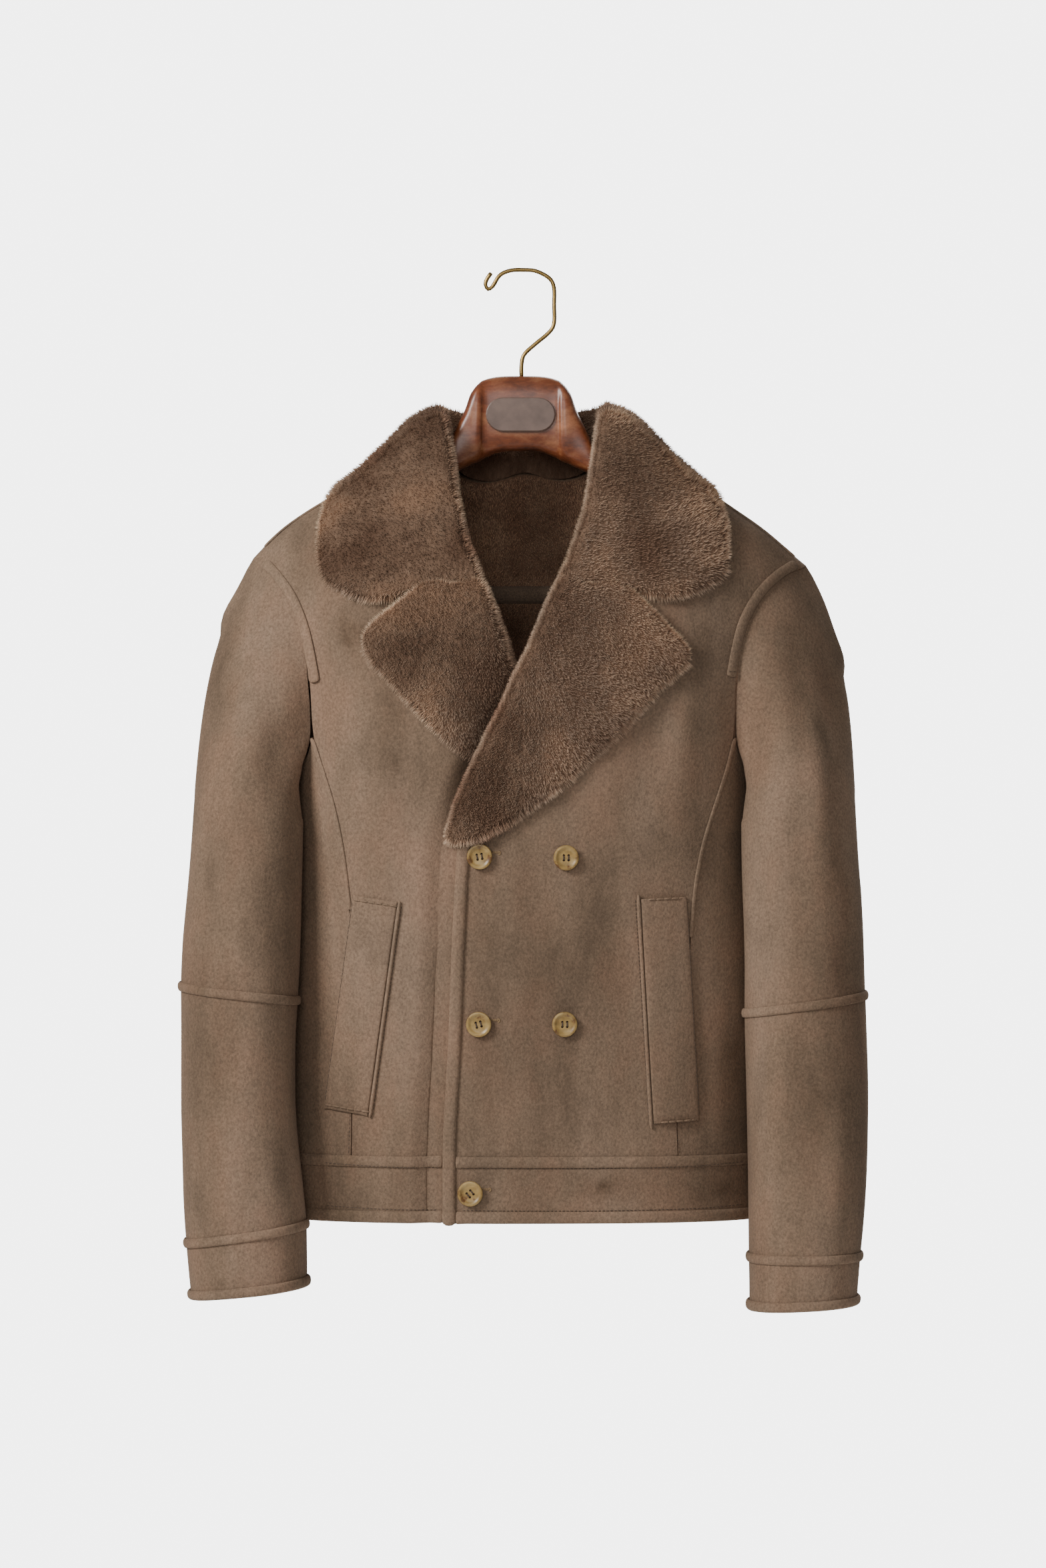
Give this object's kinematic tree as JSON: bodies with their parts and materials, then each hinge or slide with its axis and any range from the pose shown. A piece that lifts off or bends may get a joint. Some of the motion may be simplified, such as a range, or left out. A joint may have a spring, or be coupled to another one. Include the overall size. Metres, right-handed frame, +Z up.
{
  "type": "shearling peacoat on a wooden coat hanger",
  "caption": "Taupe suede shearling peacoat with wide fur collar and lapels, hanging buttoned on a wide walnut hanger with a brass hook",
  "frame": {"origin": "under the top of the hook's arc, where a rail carries it", "axes": "X across the coat to the wearer's left, Y to the coat's back, Z up"},
  "size_m": [0.5764, 0.237, 0.8741],
  "materials": {
    "suede": "napped taupe suede",
    "wool": "shorn sheep's wool",
    "horn": "polished horn",
    "walnut": "satin varnished walnut",
    "felt": "flocked felt",
    "plate": "satin, blank",
    "brass": "antique brass"
  },
  "bodies": {
    "root": {"back": "suede", "front_left": "suede", "side_left": "suede", "front_right": "suede", "side_right": "suede", "band_back": "suede", "band_strip_back": "suede", "hem_bead_back": "suede", "band_left": "suede", "band_strip_left": "suede", "hem_bead_left": "suede", "band_right": "suede", "band_strip_right": "suede", "hem_bead_right": "suede", "front_bead": "suede", "seam_strip_left": "suede", "armhole_strip_left": "suede", "shoulder_strip_left": "suede", "upper_sleeve_left": "suede", "lower_sleeve_left": "suede", "cuff_left": "suede", "elbow_strip_left": "suede", "cuff_strip_left": "suede", "cuff_bead_left": "suede", "pocket_left": "suede", "pocket_binding_left": "suede", "seam_strip_right": "suede", "armhole_strip_right": "suede", "shoulder_strip_right": "suede", "upper_sleeve_right": "suede", "lower_sleeve_right": "suede", "cuff_right": "suede", "elbow_strip_right": "suede", "cuff_strip_right": "suede", "cuff_bead_right": "suede", "pocket_right": "suede", "pocket_binding_right": "suede", "collar": "wool", "lapel_left": "wool", "lapel_right": "wool", "button_top_right": "horn", "button_top_left": "horn", "button_low_right": "horn", "button_low_left": "horn", "button_band": "horn", "hanger_wood": "walnut", "hanger_badge": "plate", "hanger_bar": "felt", "hanger_hook": "brass"}
  },
  "joints": []
}
